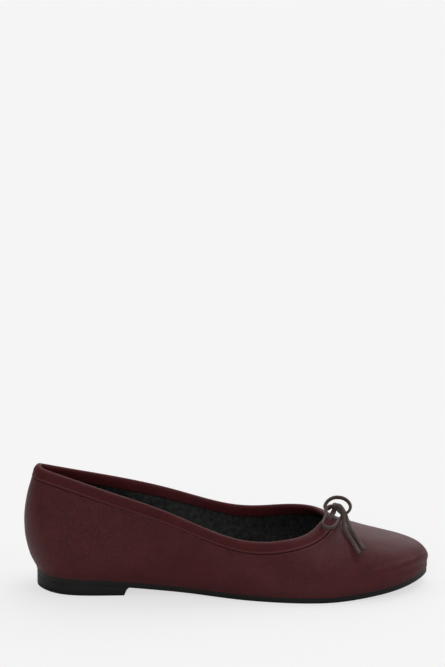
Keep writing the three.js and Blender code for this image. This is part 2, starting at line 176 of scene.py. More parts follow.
def grid_faces(rows, cols, wrap_rows, wrap_cols):
    row = np.arange(rows if wrap_rows else rows - 1)
    col = np.arange(cols if wrap_cols else cols - 1)
    r, c = np.meshgrid(row, col, indexing="ij")
    r_next = (r + 1) % rows
    c_next = (c + 1) % cols
    quads = np.stack([r * cols + c, r_next * cols + c, r_next * cols + c_next, r * cols + c_next], -1)
    return quads.reshape(-1, 4).tolist()


def cap_faces(first, cols):
    """Closes an end ring by strips from each point to its opposite one."""
    strips = []
    for j in range(cols // 2 - 1):
        k = cols - 1 - j
        strips.append([first + j, first + j + 1, first + k - 1, first + k])
    return strips


def piece_from(name, points, faces):
    """A smooth-shaded mesh object from points in millimetres, with its faces turned outwards."""
    mesh = bpy.data.meshes.new(name)
    mesh.from_pydata((points.reshape(-1, 3) * millimetre).tolist(), [], faces)
    work = bmesh.new()
    work.from_mesh(mesh)
    bmesh.ops.recalc_face_normals(work, faces=work.faces)
    work.to_mesh(mesh)
    work.free()
    mesh.shade_smooth()
    piece = bpy.data.objects.new(name, mesh)
    bpy.context.scene.collection.objects.link(piece)
    return piece


def solid_from_rings(name, rings, endless):
    rows, cols, _ = rings.shape
    faces = grid_faces(rows, cols, endless, True)
    if not endless:
        faces += cap_faces(0, cols) + cap_faces((rows - 1) * cols, cols)
    return piece_from(name, rings, faces)


def mark(piece, name, values):
    """Keeps one number per point for the material to read, such as where an edge is worn."""
    layer = piece.data.attributes.new(name, "FLOAT", "POINT")
    layer.data.foreach_set("value", np.asarray(values, np.float32).ravel())


def crossing_ribs(count, end):
    """Stations for ribs that cross the shoe, closer together at heel and toe."""
    turn = (1 - np.cos(np.pi * np.arange(count + 1) / count)) / 2
    return end + (0.6 * turn + 0.4 * np.arange(count + 1) / count) * (toe_station - 2 * end)


def plan_inset(station, inset):
    return foot_point(station) - foot_outward(station) * inset


def rib_rings(stations, outline, face_inset, face_height, face_count):
    """Rings across the shoe: outline gives (inset, height) down the edge, face the underside between."""
    opposite = section_count - stations
    near_edge = [plan_inset(stations, inset)[:, None, :] for inset, _ in outline]
    far_edge = [plan_inset(opposite, inset)[:, None, :] for inset, _ in outline]
    for edge in (near_edge, far_edge):
        for column, (_, height) in zip(edge, outline):
            column[..., 2] = height(column[..., 0])
    near = plan_inset(stations, face_inset)
    far = plan_inset(opposite, face_inset)
    share = np.linspace(0, 1, face_count + 2)[1:-1]
    face = near[:, None, :] + (far - near)[:, None, :] * share[None, :, None]
    face[..., 2] = face_height(face)
    return np.concatenate(near_edge + [face] + far_edge[::-1], 1)


def edge_roll(rounding, low_rounding, low, high, steps):
    """Insets and heights round the upper and lower corner of a plate's edge."""
    angles = np.linspace(0, math.pi / 2, steps)
    upper = [(rounding * (1 - math.sin(a)), lambda x, a=a: high(x) - rounding * (1 - math.cos(a)))
             for a in angles]
    lower = [(low_rounding * (1 - math.cos(a)), lambda x, a=a: low(x) + low_rounding * (1 - math.sin(a)))
             for a in angles]
    return upper + lower


def sole_top(x):
    return sole_bottom(x) + sole_thickness


stations = crossing_ribs(outsole_ribs, 0.02)
reach = np.abs(plan_inset(stations, 0)[:, 1] - plan_inset(section_count - stations, 0)[:, 1])


def tread(face):
    """Underside height with curved grooves that fade out before the edge and in the waist."""
    x = face[..., 0]
    across = np.abs(face[..., 1] - face[..., 1].mean(1, keepdims=True))
    from_edge = reach[:, None] / 2 - across
    inside = ease(tread_margin, tread_margin + 1.5, from_edge)
    inside *= ease(tread_start, tread_start + 4, x) * (1 - ease(tread_end - 4, tread_end, x))
    arc = x + 0.006 * (face[..., 1] - 4) ** 2
    groove = 0.5 - 0.5 * np.cos(2 * math.pi * arc / tread_pitch)
    return sole_bottom(x) + tread_depth * inside * groove ** 2


sole_outline = edge_roll(edge_rounding, low_edge_rounding, sole_bottom, sole_top, 5)
outsole_rings = rib_rings(stations, sole_outline, edge_rounding, tread, outsole_across)
outsole = solid_from_rings("outsole_rubber", outsole_rings, False)
edge_rows = len(sole_outline)
ring_points = outsole_rings.shape[1]
worn = np.zeros(outsole_rings.shape[:2])
worn[:, edge_rows - 3:edge_rows + 1] = 1
worn[:, ring_points - edge_rows - 1:ring_points - edge_rows + 3] = 1
mark(outsole, "worn", worn)
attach(outsole, "root")
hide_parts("outsole")


def add(tree, kind, **settings):
    """A shader node; each setting is one of its properties, or else the value of an input socket."""
    made = tree.nodes.new(kind)
    for name, value in settings.items():
        if hasattr(made, name):
            setattr(made, name, value)
        else:
            made.inputs[name.replace("_", " ")].default_value = value
    return made


def remap(tree, source, low, high, to_low, to_high):
    made = add(tree, "ShaderNodeMapRange", clamp=True)
    tree.links.new(source, made.inputs["Value"])
    for name, value in (("From Min", low), ("From Max", high), ("To Min", to_low), ("To Max", to_high)):
        made.inputs[name].default_value = value
    return made.outputs["Result"]


def blend_colours(tree, share, first, second):
    """Mixes two colours, each a socket or a plain value."""
    made = add(tree, "ShaderNodeMix", data_type="RGBA")
    tree.links.new(share, made.inputs["Factor"])
    for at, colour in ((6, first), (7, second)):
        if isinstance(colour, tuple):
            made.inputs[at].default_value = (*colour, 1)
        else:
            tree.links.new(colour, made.inputs[at])
    return made.outputs[2]


def combine(tree, operation, first, second):
    made = add(tree, "ShaderNodeMath", operation=operation)
    for at, value in ((0, first), (1, second)):
        if isinstance(value, (int, float)):
            made.inputs[at].default_value = value
        else:
            tree.links.new(value, made.inputs[at])
    return made.outputs[0]


def read_mark(tree, name):
    return add(tree, "ShaderNodeAttribute", attribute_name=name).outputs["Fac"]


def new_effect(name, inputs, outputs):
    """An empty node group with named inputs and outputs, and its two end nodes."""
    effect = bpy.data.node_groups.new(name, "ShaderNodeTree")
    for label, value in inputs:
        socket = effect.interface.new_socket(name=label, in_out="INPUT", socket_type="NodeSocketFloat")
        socket.default_value = value
    for label in outputs:
        effect.interface.new_socket(name=label, in_out="OUTPUT", socket_type="NodeSocketFloat")
    return effect, effect.nodes.new("NodeGroupInput"), effect.nodes.new("NodeGroupOutput")


def grain_effect():
    """Pebbles, pores and cloudy tone of a fine leather or a moulded rubber, sized in millimetres."""
    effect, given, result = new_effect("grain", [("Pebble", 0.9), ("Cloud", 14.0)],
                                       ["Height", "Pores", "Clouds"])
    links = effect.links
    place = add(effect, "ShaderNodeTexCoord")
    scaled = add(effect, "ShaderNodeVectorMath", operation="SCALE")
    scaled.inputs["Scale"].default_value = 1 / millimetre
    links.new(place.outputs["Object"], scaled.inputs[0])
    warp = add(effect, "ShaderNodeTexNoise", Scale=0.55, Detail=2.0)
    links.new(scaled.outputs[0], warp.inputs["Vector"])
    warped = add(effect, "ShaderNodeVectorMath", operation="MULTIPLY_ADD")
    warped.inputs[1].default_value = (0.9, 0.9, 0.9)
    links.new(warp.outputs["Color"], warped.inputs[0])
    links.new(scaled.outputs[0], warped.inputs[2])
    pebble_scale = combine(effect, "DIVIDE", 1.0, given.outputs["Pebble"])
    pebbles = add(effect, "ShaderNodeTexVoronoi", feature="DISTANCE_TO_EDGE")
    links.new(warped.outputs[0], pebbles.inputs["Vector"])
    links.new(pebble_scale, pebbles.inputs["Scale"])
    domes = remap(effect, pebbles.outputs["Distance"], 0.0, 0.32, 0.0, 1.0)
    fine = add(effect, "ShaderNodeTexNoise", Detail=3.0, Roughness=0.6)
    links.new(scaled.outputs[0], fine.inputs["Vector"])
    links.new(combine(effect, "MULTIPLY", pebble_scale, 2.6), fine.inputs["Scale"])
    height = combine(effect, "MULTIPLY", domes, 0.65)
    height = combine(effect, "ADD", height, combine(effect, "MULTIPLY", fine.outputs["Fac"], 0.5))
    clouds = add(effect, "ShaderNodeTexNoise", Detail=3.0, Roughness=0.55)
    links.new(scaled.outputs[0], clouds.inputs["Vector"])
    links.new(combine(effect, "DIVIDE", 1.0, given.outputs["Cloud"]), clouds.inputs["Scale"])
    links.new(height, result.inputs["Height"])
    links.new(remap(effect, domes, 0.0, 0.55, 1.0, 0.0), result.inputs["Pores"])
    links.new(remap(effect, clouds.outputs["Fac"], 0.32, 0.68, 0.0, 1.0), result.inputs["Clouds"])
    return effect


grain = grain_effect()


def new_material(name):
    material = bpy.data.materials.new(name)
    material.use_nodes = True
    tree = material.node_tree
    return material, tree, tree.nodes["Principled BSDF"]


def add_grain(tree, pebble, cloud):
    made = tree.nodes.new("ShaderNodeGroup")
    made.node_tree = grain
    made.inputs["Pebble"].default_value = pebble
    made.inputs["Cloud"].default_value = cloud
    return made


def add_bump(tree, shader, height, strength, distance):
    made = add(tree, "ShaderNodeBump", Strength=strength, Distance=distance * millimetre)
    tree.links.new(height, made.inputs["Height"])
    tree.links.new(made.outputs["Normal"], shader.inputs["Normal"])


def rubber_material():
    material, tree, shader = new_material("black_rubber")
    surface = add_grain(tree, 0.5, 9.0)
    fresh = blend_colours(tree, surface.outputs["Clouds"],
                          (0.0070, 0.0064, 0.0062), (0.0115, 0.0106, 0.0102))
    scuffed = blend_colours(tree, remap(tree, read_mark(tree, "worn"), 0.0, 1.0, 0.0, 0.5),
                            fresh, (0.050, 0.049, 0.049))
    tree.links.new(scuffed, shader.inputs["Base Color"])
    rough = remap(tree, surface.outputs["Clouds"], 0.0, 1.0, 0.42, 0.54)
    tree.links.new(rough, shader.inputs["Roughness"])
    shader.inputs["Specular IOR Level"].default_value = 0.4
    add_bump(tree, shader, surface.outputs["Height"], 0.25, 0.06)
    return material


black_rubber = rubber_material()
outsole.data.materials.append(black_rubber)


# The heel block: a low wedge of the same black rubber, flat on the floor, its breast curving up into
# the waist. It is cemented under the outsole's rear.
heel_ribs = 150
heel_across = 16
heel_rounding = 0.45
seat_gap = 0.04
breast_x = heel_length / 2


def station_at(x):
    low, high = 0.0, toe_station
    for _ in range(40):
        middle = (low + high) / 2
        if foot_point(np.array([middle]))[0, 0] < x:
            low = middle
        else:
            high = middle
    return (low + high) / 2


def heel_bottom(x):
    share = np.clip((x - breast_x) / breast_slope, 0, 1)
    return (sole_bottom(x) - seat_gap) * (1 - (1 - share) ** 2)


def heel_top(x):
    return sole_bottom(x) - seat_gap


def heel_tread(face):
    x = face[..., 0]
    y = face[..., 1]
    width = np.ptp(y, axis=1)[:, None] + 4
    inside = ease(4.0, 5.5, width / 2 - np.abs(y)) * ease(-21, -19, x) * (1 - ease(20, 22, x))
    groove = 0.5 - 0.5 * np.cos(2 * math.pi * (x + 0.01 * y ** 2) / tread_pitch)
    return heel_bottom(x) + tread_depth * inside * groove ** 2


def heel_side(share, dent):
    """A point down the heel's side: a share of its own height, and how deep it lies."""
    return dent, lambda x: heel_bottom(x) + share * (heel_top(x) - heel_bottom(x))


heel_outline = [
    heel_side(1.0, 0.05),
    heel_side(0.95, 0.0),
    heel_side(0.50, 0.0),
    heel_side(0.10, 0.0),
    heel_side(0.03, 0.12),
    heel_side(0.0, heel_rounding),
]
breast_end = station_at(breast_x + breast_slope * 0.97)
back_part = np.linspace(0, 1, heel_ribs) ** 1.5 * (station_at(breast_x) - 0.02) + 0.02
breast_part = np.linspace(station_at(breast_x), breast_end, 14)[1:]
heel_stations = np.concatenate([back_part, breast_part])
heel_rings = rib_rings(heel_stations, heel_outline, heel_rounding, heel_tread, heel_across)
heel = solid_from_rings("heel_block", heel_rings, False)
mark(heel, "worn", np.where(heel_rings[..., 2] < 0.5, 0.7, 0.0))
heel.data.materials.append(black_rubber)
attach(heel, "root")
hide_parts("heel")


# The upper: fine-grained oxblood leather in one piece, pulled over the last and turned in under the
# foot. Its edge runs up under the binding, and it carries the soft creases that lasting leaves.
wall_thickness = 1.7
lasting_margin = 9.0
binding_width = 8.6
binding_leather = 0.9
binding_rise = 0.5
leather_thickness = 1.0
around_count = 600
down_count = 84
outward_blend = 10
curve_steps = np.linspace(0, 1, 161)


def wall_controls(station):
    foot = foot_point(station)
    rim = rim_point(station)
    chord = np.linalg.norm(foot - rim, axis=-1, keepdims=True)
    outward = foot_outward(station) * outward_blend
    outward[..., :2] += (foot - rim)[..., :2]
    outward = unit(outward)
    up = np.array([0, 0, 1.0])
    low = foot + outward * last["swell"](station)[:, None] * chord
    low = low + up * last["rise"](station)[:, None] * chord
    high = rim + outward * last["lean"](station)[:, None] * chord
    high = high - up * last["drop"](station)[:, None] * chord
    return np.stack([rim, high, low, foot], 1)


def bezier(controls, t):
    t = t[..., None]
    a, b, c, d = (controls[:, i, None, :] for i in range(4))
    return a * (1 - t) ** 3 + 3 * b * t * (1 - t) ** 2 + 3 * c * t ** 2 * (1 - t) + d * t ** 3


def wall_runs(controls):
    """Length along each section's curve at every step of it."""
    steps = np.tile(curve_steps, (len(controls), 1))
    pieces = np.linalg.norm(np.diff(bezier(controls, steps), axis=1), axis=-1)
    return np.concatenate([np.zeros((len(controls), 1)), np.cumsum(pieces, 1)], 1)


def wall_length(station):
    return wall_runs(wall_controls(station))[:, -1]


def wall_at(station, share):
    controls = wall_controls(station)
    runs = wall_runs(controls)
    target = np.clip(share, 0, 1) * runs[:, -1:]
    t = np.stack([np.interp(target[i], runs[i], curve_steps) for i in range(len(runs))])
    return bezier(controls, t)


def wall_point(station, down, deep):
    """Points in the wall, down from the rim and deep from its outer face, both in millimetres."""
    station_step = 0.02
    share_step = 0.01
    share = down / wall_length(station)[:, None]
    low = np.minimum(share + share_step, 1)
    high = np.maximum(share - share_step, 0)
    around = wall_at(station + station_step, share) - wall_at(station - station_step, share)
    along = wall_at(station, high) - wall_at(station, low)
    inward = unit(np.cross(along, around))
    return wall_at(station, share) + inward * deep[..., None]


around = np.arange(around_count) / around_count * section_count
rim_steps = np.linalg.norm(np.diff(rim_point(np.append(around, section_count)), axis=0), axis=1)
rim_run = np.concatenate([[0], np.cumsum(rim_steps)[:-1]])
length = wall_length(around)
binding_recess = binding_leather + clearance - binding_rise
tuck_top = binding_leather + clearance
tuck_end = binding_width + 0.1


def near_station(centre, width):
    """A smooth bump around one station, 1 at the centre."""
    away = (around - centre + section_count / 2) % section_count - section_count / 2
    return np.exp(-(away / width) ** 2)


wave_height = 0.16
ripple_height = 0.045
seam_dip = 0.34
seam_swell = 0.16
throat_pull = 0.10
heel_pull = 0.05
side_crease = 0.13
toe_pleat = 0.06
heel_pleat = 0.04
toe_puff = 0.95
ledge_height = 8.3


def leather_relief(down, points):
    """How far the leather stands out: gathers, lasting creases, the lip at the binding, soft waves."""
    below = down - tuck_end
    above = length[:, None] - down
    run = rim_run[:, None]
    relief = wave_height * soft_noise(points, 46.0, 3) * ease(0, 12, below) * ease(0, 10, above)
    relief += ripple_height * soft_noise(points, 13.0, 5) * ease(0, 8, below) * ease(0, 6, above)
    relief -= seam_dip * np.exp(-(below / 0.6) ** 2)
    relief += seam_swell * np.exp(-((below - 1.9) / 1.3) ** 2)
    wander = 1.4 * soft_noise(points, 17.0, 11)
    pulls = np.sin(2 * math.pi * run / 4.3 + wander) * np.exp(-below / 7.0)
    relief += throat_pull * pulls * near_station(toe_station, 1.3)[:, None]
    relief += heel_pull * pulls * near_station(0, 1.2)[:, None]
    side = np.sin(2 * math.pi * points[..., 0] / 4.4 + 1.6 * wander)
    side_place = near_station(2.7, 0.9)[:, None] + 0.7 * near_station(15.3, 0.9)[:, None]
    relief += side_crease * side * side_place * np.exp(-((below - 7) / 9.0) ** 2)
    pleats = np.sin(2 * math.pi * run / 1.9 + 1.7 * wander) * np.exp(-above / 3.2)
    relief += toe_pleat * pleats * near_station(toe_station, 2.2)[:, None]
    relief += heel_pleat * pleats * near_station(0, 1.6)[:, None]
    toe_box = near_station(toe_station - 0.3, 1.9)[:, None]
    toe_tip = near_station(toe_station + 0.2, 0.75)[:, None]
    ledge = ledge_height - 4.4 * toe_tip
    puff = (toe_puff - 0.65 * toe_tip) * toe_box
    relief += puff * np.exp(-((above - ledge - 2.2) / (2.8 - 0.6 * toe_tip)) ** 2)
    relief -= 0.75 * puff * np.exp(-((above - ledge + 2.2) / (2.0 - 0.6 * toe_tip)) ** 2)
    relief -= 0.12 * toe_tip * np.exp(-((above - 10.5) / 3.0) ** 2)
    return relief


share_down = np.linspace(0, 1, down_count)
share_down = 0.75 * share_down + 0.25 * share_down ** 2
outer_down = tuck_end + share_down[None, :] * (length[:, None] - tuck_end)
flat_wall = wall_point(around, outer_down, np.zeros_like(outer_down))
relief = leather_relief(outer_down, flat_wall)
bulge = 0.32 * np.exp(-(length[:, None] - outer_down) / 1.6)
outer_face = wall_point(around, outer_down, -relief - bulge)
tuck_down = np.array([tuck_top, (tuck_top + tuck_end) / 2, tuck_end - 0.5])
tuck_grid = np.tile(tuck_down, (around_count, 1))
tucked = wall_point(around, tuck_grid, np.full_like(tuck_grid, binding_recess))


def margin_row(inset, rise):
    row = plan_inset(around, inset)
    row[:, 2] = sole_top(row[:, 0]) + clearance + rise
    return row[:, None, :]


inner_shares = np.linspace(1, 0, 24)
inner_down = tuck_end + inner_shares[None, :] * (length[:, None] - 3.0 - tuck_end)
inner_face = wall_point(around, inner_down, np.full_like(inner_down, leather_thickness))
tuck_back = wall_point(around, tuck_grid[:, ::-1], np.full_like(tuck_grid, leather_thickness + 0.1))
upper_rings = np.concatenate([
    tucked, outer_face,
    margin_row(-0.34, -0.45), margin_row(-0.30, -0.80), margin_row(-0.10, -1.02),
    margin_row(0.25, -1.0), margin_row(0.4, -0.3), margin_row(lasting_margin, 0.0),
    margin_row(lasting_margin, leather_thickness), margin_row(2.6, leather_thickness),
    inner_face, tuck_back], 1)
upper = solid_from_rings("upper_leather", upper_rings, True)
outside = slice(len(tuck_down), len(tuck_down) + down_count)
flesh_start = outside.stop + 6


def outside_mark(name, values):
    """Marks the upper's grain side; the mark is 0 everywhere else."""
    whole = np.zeros(upper_rings.shape[:2])
    whole[:, outside] = values
    mark(upper, name, whole)


# Painted shade: the leather gets darker towards the sole, where shade falls along its lower edge.
outside_mark("sole_edge_painted_shade", np.exp(-(length[:, None] - outer_down) / 2.5))
# Painted shade: a dark line along the groove where the upper goes in under the binding.
outside_mark("seam_painted_shade", np.exp(-((outer_down - tuck_end) / 0.45) ** 2))
# Painted highlight: a faint light line on the leather's ridge just below the binding's seam.
outside_mark("wear_and_painted_highlight", 0.15 * np.exp(-((outer_down - tuck_end - 0.95) / 0.4) ** 2))
flesh_side = np.zeros(upper_rings.shape[:2])
flesh_side[:, flesh_start:] = 1
mark(upper, "flesh", flesh_side)
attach(upper, "root")
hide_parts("upper")


def oxblood_material(name, pebble, shine, gloss_low, gloss_high):
    """Aniline-finished leather: cloudy dark red, darker in pores, with painted shade at seams and towards
    the sole, lighter where worn and with painted highlights on lit ridges.
    """
    material, tree, shader = new_material(name)
    surface = add_grain(tree, pebble, 11.0)
    dye = blend_colours(tree, surface.outputs["Clouds"], (0.110, 0.0152, 0.0168), (0.142, 0.0210, 0.0230))
    pores = remap(tree, surface.outputs["Pores"], 0.0, 1.0, 0.0, 0.35)
    dye = blend_colours(tree, pores, dye, (0.045, 0.008, 0.009))
    # Painted shade along the seam's groove, in a very dark red.
    seam_painted_shade = remap(tree, read_mark(tree, "seam_painted_shade"), 0.1, 1.0, 0.0, 0.6)
    dye = blend_colours(tree, seam_painted_shade, dye, (0.030, 0.006, 0.006))
    # Painted shade, darker towards the sole.
    sole_edge_painted_shade = remap(tree, read_mark(tree, "sole_edge_painted_shade"), 0.1, 1.0, 0.0, 0.45)
    dye = blend_colours(tree, sole_edge_painted_shade, dye, (0.040, 0.010, 0.011))
    # Lighter: real wear in patches on the binding's top roll, with painted highlights along that roll, on
    # the binding's lower lip and on the upper's ridge below the seam.
    wear_and_painted_highlight = remap(tree, read_mark(tree, "wear_and_painted_highlight"), 0.0, 1.0, 0.0, 0.5)
    dye = blend_colours(tree, wear_and_painted_highlight, dye, (0.230, 0.085, 0.085))
    dye = blend_colours(tree, read_mark(tree, "flesh"), dye, (0.014, 0.012, 0.012))
    tree.links.new(dye, shader.inputs["Base Color"])
    rough = remap(tree, surface.outputs["Clouds"], 0.0, 1.0, gloss_low, gloss_high)
    tree.links.new(rough, shader.inputs["Roughness"])
    shader.inputs["Specular IOR Level"].default_value = shine
    add_bump(tree, shader, surface.outputs["Height"], 0.7, 0.2)
    return material


oxblood_leather = oxblood_material("oxblood_leather", 0.8, 0.30, 0.35, 0.44)
upper.data.materials.append(oxblood_leather)


# The lining: thin black grained leather glued inside the upper, from under the binding down to the
# sock. It puckers a little in soft irregular waves, which fade out towards its top.
lining_rows = 40
lining_top = 5.0
lining_stop = 1.8
lining_gap = 0.12
lining_shares = np.linspace(0, 1, lining_rows)[None, :]
lining_down = lining_top + lining_shares * (length[:, None] - lining_stop - lining_top)
lining_flat = wall_point(around, lining_down, np.full_like(lining_down, wall_thickness))
pucker = 0.16 * soft_noise(lining_flat, 15.0, 21) + 0.07 * soft_noise(lining_flat, 5.5, 22)
pucker = pucker * ease(lining_top, lining_top + 8, lining_down)
lining_face = wall_point(around, lining_down, wall_thickness + lining_gap + pucker)
lining_back_down = lining_down[:, ::-1][:, ::3]
lining_back = wall_point(around, lining_back_down, np.full_like(lining_back_down, leather_thickness + 0.08))
lining = solid_from_rings("lining", np.concatenate([lining_face, lining_back], 1), True)
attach(lining, "root")


def lining_material(name, pebble, depth, lit):
    material, tree, shader = new_material(name)
    surface = add_grain(tree, pebble, 2.4)
    tone = blend_colours(tree, surface.outputs["Clouds"], (0.010, 0.0105, 0.010), lit)
    tone = blend_colours(tree, remap(tree, surface.outputs["Pores"], 0.0, 1.0, 0.0, 0.7),
                         tone, (0.004, 0.004, 0.004))
    tree.links.new(tone, shader.inputs["Base Color"])
    rough = remap(tree, surface.outputs["Height"], 0.0, 1.0, 0.62, 0.45)
    tree.links.new(rough, shader.inputs["Roughness"])
    shader.inputs["Specular IOR Level"].default_value = 0.4
    add_bump(tree, shader, surface.outputs["Height"], 0.6, depth)
    return material


lining.data.materials.append(lining_material("black_lining", 1.0, 0.34, (0.060, 0.068, 0.060)))


# The sock: a thin black cover glued on the insole board, with a rounded edge and a line pressed in
# near it. It lies on the turned-in margin and dips a little where heel and ball press.
sock_ribs = 220
sock_across = 46
insole_thickness = 2.0
sock_inset = wall_thickness + 3 * clearance
sock_round = 0.6
press_line = 3.4
sock_stations = crossing_ribs(sock_ribs, 0.12)
sock_reach = np.abs(plan_inset(sock_stations, sock_inset)[:, 1]
                    - plan_inset(section_count - sock_stations, sock_inset)[:, 1])


def sock_seat(x):
    return sole_top(x) + clearance + wall_thickness + 0.1


def sock_crown(face):
    x = face[..., 0]
    middle = face[..., 1].mean(1, keepdims=True)
    from_side = sock_reach[:, None] / 2 - np.abs(face[..., 1] - middle)
    from_back = x - (rear_x + 0.03 * shoe_length + sock_inset)
    from_edge = np.minimum(from_side, from_back)
    crown = 0.35 * ease(0, 12, from_edge)
    heel_dip = np.exp(-((x + 2) / 17) ** 2 - ((face[..., 1]) / 13) ** 2)
    ball_dip = np.exp(-((x - 124) / 22) ** 2 - ((face[..., 1] + 4) / 24) ** 2)
    pressed = 0.22 * np.exp(-((from_edge - press_line) / 0.45) ** 2)
    soft = 0.08 * soft_noise(face, 22.0, 31)
    top = sock_seat(x) + insole_thickness + 0.1
    return top + crown - 0.5 * heel_dip - 0.35 * ball_dip - pressed + soft


def sock_side(inset, drop):
    return inset, lambda x: sock_seat(x) + insole_thickness - drop


sock_outline = [
    sock_side(sock_inset + 6.0, insole_thickness),
    sock_side(sock_inset, insole_thickness),
    sock_side(sock_inset, 0.9),
    sock_side(sock_inset + 0.12, 0.35),
    sock_side(sock_inset + 0.35, 0.08),
    sock_side(sock_inset + sock_round, 0.0),
]
sock_rings = rib_rings(sock_stations, sock_outline, sock_inset + sock_round, sock_crown, sock_across)
sock = solid_from_rings("sock", sock_rings, False)
sock.data.materials.append(lining_material("black_sock", 0.7, 0.10, (0.016, 0.016, 0.016)))
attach(sock, "root")
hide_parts("insole")


# The binding: a strip of the same leather folded over the topline and sewn, puffed by the drawstring
# that runs in it. Fine gathers cross it, most at the heel and beside the bow.
inner_leg = wall_thickness + clearance
inner_face_deep = inner_leg + binding_leather
binding_profile = [
    # down from the rim, deep from the wall's outer face
    (8.72, 0.55), (8.84, 0.25), (8.84, -0.02), (8.76, -0.28), (8.56, -0.45), (8.28, -0.52),
    (7.98, -0.50), (7.62, -0.45), (7.20, -0.45), (6.70, -0.52), (6.10, -0.63), (5.20, -0.79),
    (4.20, -0.86), (3.10, -0.78), (2.20, -0.63),
    (1.40, -0.40), (0.80, -0.08), (0.38, 0.30), (0.12, 0.75), (0.02, 1.20), (0.06, 1.65),
    (0.28, 2.10), (0.75, 2.52), (1.50, 2.82), (2.60, 2.98), (4.00, 3.04), (5.40, 3.02),
    (6.60, 2.96), (7.60, 2.88), (8.20, 2.78), (8.50, 2.60), (8.60, 2.40), (8.50, 2.12),
    (7.00, 2.02), (4.00, 2.02), (1.40, 1.95), (1.05, 1.55), (1.05, 1.00), (1.30, 0.62),
    (3.00, 0.52), (5.50, 0.52), (7.80, 0.52), (8.55, 0.60),
]
binding_down = np.tile([down for down, _ in binding_profile], (around_count, 1))
binding_deep = np.tile([deep for _, deep in binding_profile], (around_count, 1))
binding_flat = wall_point(around, binding_down, binding_deep)
gather_wander = 1.6 * soft_noise(binding_flat, 24.0, 41)
gather = np.sin(2 * math.pi * rim_run[:, None] / 3.4 + gather_wander)
gather += 0.7 * np.sin(2 * math.pi * rim_run[:, None] / 7.9 - 1.3 * gather_wander)
gather_place = 0.3 + near_station(0, 1.1) + 0.9 * near_station(toe_station, 0.9)
outside_share = np.exp(-((binding_down - 5.5) / 3.0) ** 2)
outside_share = outside_share * (1 - ease(0.2, 1.2, binding_deep)) + 0.4 * ease(2.6, 3.0, binding_deep)
roll_wave = 0.10 * soft_noise(binding_flat, 30.0, 43)
sway = (0.055 * gather * gather_place[:, None] + roll_wave) * outside_share
side_sign = np.where(binding_deep > 1.5, -1.0, 1.0)
binding_rings = wall_point(around, binding_down, binding_deep - sway * side_sign)
binding = solid_from_rings("topline_binding_leather", binding_rings, True)
# The top roll gets wear in patches plus a painted highlight along it; the lower lip gets a painted
# highlight, a thin light line.
top_roll = np.exp(-((binding_down - 0.9) / 1.0) ** 2) * np.where(binding_deep < 1.6, 1.0, 0.4)
wear_and_highlight_patches = np.clip(0.35 + 0.65 * soft_noise(binding_flat, 14.0, 47), 0, 1)
lip_painted_highlight = np.exp(-((binding_down - 8.1) / 0.6) ** 2) * (binding_deep < 0.4)
mark(binding, "wear_and_painted_highlight", 0.4 * top_roll * wear_and_highlight_patches + lip_painted_highlight)
mark(binding, "flesh", np.zeros(binding_down.shape))
# Painted shade on the binding's lower edge, along the seam.
mark(binding, "seam_painted_shade", np.where((binding_down > 8.3) & (binding_deep < 1.0), 0.8, 0.0))
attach(binding, "root")
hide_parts("topline_binding")
binding.data.materials.append(oxblood_material("oxblood_binding", 0.7, 0.20, 0.42, 0.52))


# The row of stitches that holds the binding's inner edge down, in dark red thread, about 3 mm each,
# lying in the leather inside the collar.
stitch_length = 2.2
stitch_pitch = 3.1
stitch_radius = 0.17
stitch_down = 7.1
stitch_sides = 6
stitch_count = int((rim_run[-1] + rim_steps[-1]) / stitch_pitch)


def stitch_tube(start, end):
    """A short thread that dips into the leather at both ends."""
    middle_shares = np.linspace(0, 1, 7)
    axis = unit(end - start)
    outwards = unit(np.cross(axis, [0.0, 0.0, 1.0]))
    upwards = np.cross(axis, outwards)
    rings = []
    for share in middle_shares:
        round_off = math.sqrt(max(0.05, 1 - (2 * share - 1) ** 4))
        centre = start + (end - start) * share
        turn_angles = np.arange(stitch_sides) * 2 * math.pi / stitch_sides
        circle = np.cos(turn_angles)[:, None] * outwards + np.sin(turn_angles)[:, None] * upwards
        rings.append(centre + circle * stitch_radius * round_off)
    return np.array(rings)


stitch_starts = (np.arange(stitch_count) + 0.5) * stitch_pitch
closed_run = np.append(rim_run, rim_run[-1] + rim_steps[-1])
closed_around = np.append(around, section_count)
stitch_points = []
stitch_faces = []
for run_start in stitch_starts:
    ends = np.interp([run_start, run_start + stitch_length], closed_run, closed_around)
    grip = wall_point(ends, np.full((2, 1), stitch_down), np.full((2, 1), inner_face_deep + 0.12))[:, 0]
    tube = stitch_tube(grip[0], grip[1])
    offset = len(stitch_points) * tube.shape[0] * tube.shape[1]
    faces = grid_faces(tube.shape[0], stitch_sides, False, True)
    faces += cap_faces(0, stitch_sides) + cap_faces((tube.shape[0] - 1) * stitch_sides, stitch_sides)
    stitch_faces += [[corner + offset for corner in face] for face in faces]
    stitch_points.append(tube)
stitches = piece_from("binding_stitches", np.array(stitch_points), stitch_faces)


def thread_material():
    material, tree, shader = new_material("dark_red_thread")
    surface = add_grain(tree, 0.25, 3.0)
    tone = blend_colours(tree, surface.outputs["Clouds"], (0.035, 0.009, 0.010), (0.060, 0.016, 0.018))
    tree.links.new(tone, shader.inputs["Base Color"])
    shader.inputs["Roughness"].default_value = 0.55
    add_bump(tree, shader, surface.outputs["Height"], 0.5, 0.05)
    return material


stitches.data.materials.append(thread_material())
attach(stitches, "root")


